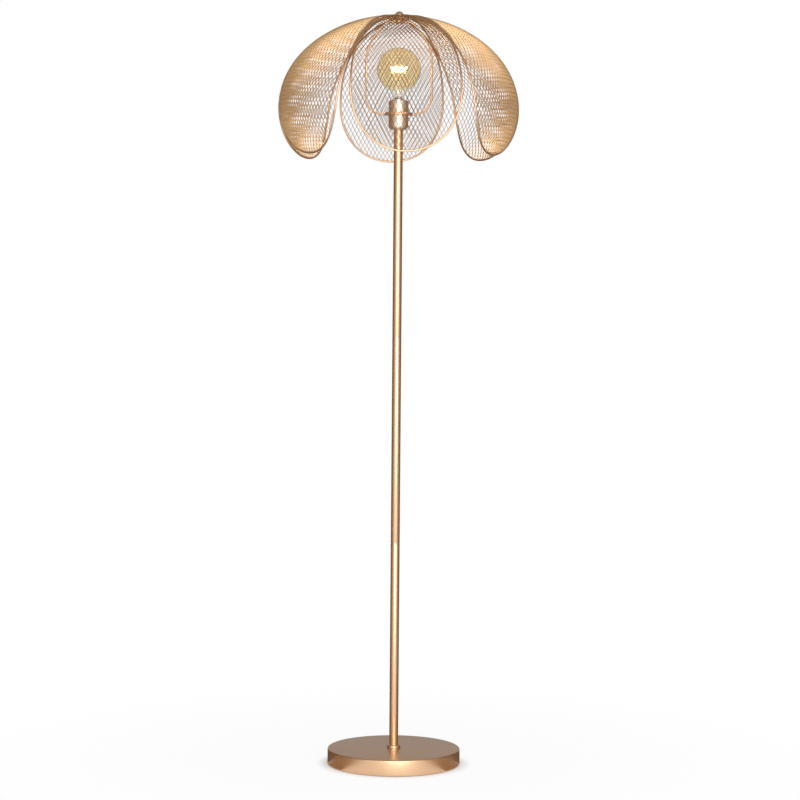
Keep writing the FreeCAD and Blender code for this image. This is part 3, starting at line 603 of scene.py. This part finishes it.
def angle_at(along):
    low, high = 0, LENGTH_STEPS
    while high - low > 1:
        between = (low + high) // 2
        if LENGTHS[between] <= along:
            low = between
        else:
            high = between
    share = (along - LENGTHS[low]) / (LENGTHS[high] - LENGTHS[low])
    return LAST_ANGLE / LENGTH_STEPS * (low + share)


def half_width(along):
    if along <= START or along >= TIP:
        return 0.0
    if along < START + ROOT:
        return math.sqrt(ROOT ** 2 - (START + ROOT - along) ** 2)
    if along < WIDEST:
        share = (along - START - ROOT) / (WIDEST - START - ROOT)
        return ROOT + (HALF_WIDTH - ROOT) * math.sin(math.pi / 2 * share ** FLANK_START) ** FLANK_POWER
    return HALF_WIDTH * math.sqrt(1 - ((along - WIDEST) / (TIP - WIDEST)) ** 2)


def laid(across, along, height):
    """A point of the front petal, in metres, from its place on the drawn outline."""
    angle = angle_at(along)
    ring = SHADE_RADIUS * math.sin(angle)
    side = math.asin(max(-1.0, min(1.0, across / ring)))
    spot = Vector((ring * math.sin(side), -ring * math.cos(side), SHADE_RISE * math.cos(angle)))
    normal = Vector((spot.x / SHADE_RADIUS ** 2, spot.y / SHADE_RADIUS ** 2, spot.z / SHADE_RISE ** 2))
    normal.normalize()
    return (spot + normal * height + UP * SHADE_LEVEL) * MM


def outline_points(count=400):
    """The outline as (across, along) points, down the right side and back up the left."""
    right = []
    for i in range(count // 2 + 1):
        along = START + (TIP - START) * (1 - math.cos(math.pi * i / (count // 2))) / 2
        right.append(Vector((half_width(along), along)))
    return right + [Vector((-p.x, p.y)) for p in reversed(right[1:-1])]


def nearest_on(border, spot):
    best, place = None, None
    for i, here in enumerate(border):
        after = border[(i + 1) % len(border)]
        leg = after - here
        share = max(0.0, min(1.0, (spot - here).dot(leg) / max(leg.length_squared, 1e-9)))
        found = here + leg * share
        gap = (found - spot).length_squared
        if best is None or gap < best:
            best, place = gap, found
    return place


def petal_weave():
    """Expanded mesh: a lattice of diamonds cut to the petal's outline, turned to strands, laid on the globe."""
    middle = (START + TIP) / 2
    deselect()
    bpy.ops.mesh.primitive_grid_add(x_subdivisions=WEAVE_CELLS, y_subdivisions=WEAVE_CELLS,
                                    size=WEAVE_CELLS * WEAVE_WIDTH / math.sqrt(2) * MM)
    bpy.ops.object.mode_set(mode="EDIT")
    bpy.ops.mesh.select_all(action="SELECT")
    bpy.ops.transform.rotate(value=math.radians(45), orient_axis="Z", center_override=(0, 0, 0))
    bpy.ops.transform.resize(value=(1, WEAVE_LENGTH / WEAVE_WIDTH, 1), center_override=(0, 0, 0))
    bpy.ops.transform.translate(value=(0, middle * MM, 0))

    def inside(spot):
        return abs(spot.x) / MM < half_width(spot.y / MM)

    edit("FACE", lambda face: not any(inside(corner.co) for corner in face.verts))
    bpy.ops.mesh.delete(type="FACE")
    mesh = bmesh.from_edit_mesh(bpy.context.object.data)
    border = outline_points()
    for corner in mesh.verts:
        if not inside(corner.co):
            found = nearest_on(border, Vector((corner.co.x, corner.co.y)) / MM)
            corner.co = Vector((found.x * MM, found.y * MM, 0))
    bmesh.update_edit_mesh(bpy.context.object.data)
    bpy.ops.mesh.select_mode(type="VERT")
    bpy.ops.mesh.select_all(action="SELECT")
    bpy.ops.mesh.remove_doubles(threshold=WEAVE_WELD * MM)
    bpy.ops.mesh.dissolve_degenerate(threshold=0.5 * MM)
    done()
    weave = named("petal_weave_1")
    apply_modifier(weave, "WIREFRAME", thickness=STRAND * MM, use_replace=True, use_even_offset=True,
                   use_boundary=True)
    for corner in weave.data.vertices:
        across, along, height = (c / MM for c in corner.co)
        height *= STRAND_RISE
        along = max(START - RIM_COVER, min(TIP + RIM_COVER, along))
        widest = half_width(along) + RIM_COVER
        across = max(-widest, min(widest, across))
        corner.co = laid(across, along, height)
    outward(weave)
    return weave


def turned_copy(piece, name, turn):
    copy = piece.copy()
    copy.data = piece.data.copy()
    copy.name = name
    copy.data.name = name
    bpy.context.scene.collection.objects.link(copy)
    copy.data.transform(Matrix.Rotation(turn, 4, "Z"))
    return copy


def petal_pieces():
    first = petal_weave()
    for i in range(1, PETALS):
        copy = turned_copy(first, "petal_weave_%d" % (i + 1), math.radians(PETAL_TURN + 360 / PETALS * i))
        stand_in(copy, FINISHES["mesh_paint"], "mesh_paint", "petal_mesh_%d" % (i + 1))
    first.data.transform(Matrix.Rotation(math.radians(PETAL_TURN), 4, "Z"))
    stand_in(first, FINISHES["mesh_paint"], "mesh_paint", "petal_mesh_1")


# ---- studio ----

STUDIO_RADIUS = 3.6
STUDIO_HEIGHT = 4
CLOTH_START = 0.1405
CLOTH_LEVEL = 0.002


def seen_directly(nodes_of):
    """1 where the lens, glass or metal sees the surface, 0 where it only lights something."""
    rays = [nodes_of.add("ShaderNodeLightPath", output=ray)
            for ray in ("Is Camera Ray", "Is Glossy Ray", "Is Transmission Ray")]
    return nodes_of.reckon("MINIMUM", rays[0] + rays[1] + rays[2], 1)


def floor_finish():
    """Pale floor: its own white where it is seen, mixed with a matt white that takes the lamp's shadow, most of
    all in a narrow ring round the base."""
    n = Nodes(bpy.data.materials.new("studio_floor"))
    distance = n.add("ShaderNodeVectorMath", {"operation": "LENGTH"},
                     {0: n.add("ShaderNodeTexCoord", output="Object")}, output="Value")
    share = n.spread(distance, 0.3, 1.0, 0.9, 1) * n.spread(distance, 0.14, 0.165, 0.2, 1)
    matt = n.add("ShaderNodeBsdfDiffuse", None, {"Color": rgb(1, 1, 1)})
    white = n.add("ShaderNodeEmission", None, {"Color": rgb(1, 1, 1), "Strength": 1})
    mixed = n.add("ShaderNodeMixShader", None, {0: seen_directly(n) * share, 1: matt, 2: white})
    n.add("ShaderNodeOutputMaterial", None, {"Surface": mixed})
    return n.owner


def flat_finish(name, cloth):
    n = Nodes(bpy.data.materials.new(name))
    glow = n.add("ShaderNodeEmission", None, {"Color": rgb(*cloth), "Strength": 1})
    n.add("ShaderNodeOutputMaterial", None, {"Surface": glow})
    return n.owner


def studio_flat(name, start, end, cloth):
    """Studio cloth on the floor and hung round the lamp, from one bearing to another, seen only in gloss."""
    deselect()
    bpy.ops.mesh.primitive_circle_add(vertices=180, radius=CLOTH_START, location=(0, 0, CLOTH_LEVEL))
    edit("VERT", lambda v: not start <= math.degrees(math.atan2(v.co.x, -v.co.y)) % 360 <= end)
    bpy.ops.mesh.delete(type="VERT")
    bpy.ops.mesh.select_all(action="SELECT")
    bpy.ops.mesh.extrude_region_move()
    ratio = STUDIO_RADIUS / CLOTH_START
    bpy.ops.transform.resize(value=(ratio, ratio, 1), center_override=(0, 0, 0))
    bpy.ops.mesh.extrude_region_move(TRANSFORM_OT_translate={"value": (0, 0, STUDIO_HEIGHT)})
    done()
    card = named(name)
    card.data.materials.append(flat_finish(name, cloth))
    gloss_only(card)


def ceiling_flat(name, cloth):
    """A round dim panel over the lamp, for the shade's upper side to reflect."""
    deselect()
    bpy.ops.mesh.primitive_circle_add(vertices=96, radius=STUDIO_RADIUS, fill_type="NGON",
                                      location=(0, 0, STUDIO_HEIGHT))
    card = named(name)
    card.data.materials.append(flat_finish(name, cloth))
    gloss_only(card)


def gloss_only(card):
    """Hides the card from the lens, from soft light and from shadows, so that only reflections show it."""
    card.visible_camera = False
    card.visible_diffuse = False
    card.visible_transmission = False
    card.visible_shadow = False


def studio():
    deselect()
    bpy.ops.mesh.primitive_circle_add(vertices=96, radius=14, fill_type="NGON", location=(0, 0, 0))
    floor = named("floor")
    floor.data.materials.append(floor_finish())
    light_brown, dark_brown = (0.32, 0.2, 0.12), (0.13, 0.075, 0.045)
    studio_flat("flat_right_near", 50, 85, light_brown)
    studio_flat("flat_right_far", 85, 148, dark_brown)
    studio_flat("flat_rear", 148, 212, (0.36, 0.34, 0.33))
    studio_flat("flat_left_far", 212, 275, dark_brown)
    studio_flat("flat_left_near", 275, 310, light_brown)
    ceiling_flat("flat_ceiling", (0.3, 0.27, 0.23))

    world = bpy.data.worlds.new("studio")
    bpy.context.scene.world = world
    n = Nodes(world)
    room = n.add("ShaderNodeBackground", None, {"Color": rgb(1, 1, 1), "Strength": 0.55})
    white = n.add("ShaderNodeBackground", None, {"Color": rgb(1, 1, 1), "Strength": 1})
    mixed = n.add("ShaderNodeMixShader", None, {0: seen_directly(n), 1: room, 2: white})
    n.add("ShaderNodeOutputWorld", None, {"Surface": mixed})

    lamp = bpy.data.lights.new("front_softbox", "AREA")
    lamp.shape = "RECTANGLE"
    lamp.size = 2.3
    lamp.size_y = 3.0
    lamp.energy = 80
    item = bpy.data.objects.new("front_softbox", lamp)
    bpy.context.scene.collection.objects.link(item)
    place, aim = Vector((0.45, -3.2, 1.3)), Vector((0, 0, 0.8))
    item.location = place
    item.rotation_euler = (aim - place).to_track_quat("-Z", "Y").to_euler()


def camera():
    """The photograph's view: level with the pole's upper half, tipped down slightly and turned a little."""
    data = bpy.data.cameras.new("camera")
    data.sensor_width = 36
    data.lens = 107.0
    item = bpy.data.objects.new("camera", data)
    bpy.context.scene.collection.objects.link(item)
    bpy.context.scene.camera = item
    pitch, roll = 0.0486, 0.008
    item.location = (0.0077, -5.0025, 1.0153)
    aim = Matrix.Rotation(math.pi / 2 - pitch, 3, "X") @ Matrix.Rotation(roll, 3, "Z")
    item.rotation_euler = aim.to_euler()


base_pieces()
pole_pieces()
holder_pieces()
bulb_pieces()
filament_pieces()
finial_pieces()
petal_pieces()
studio()
camera()

scene = bpy.context.scene
scene.view_settings.view_transform = "Standard"
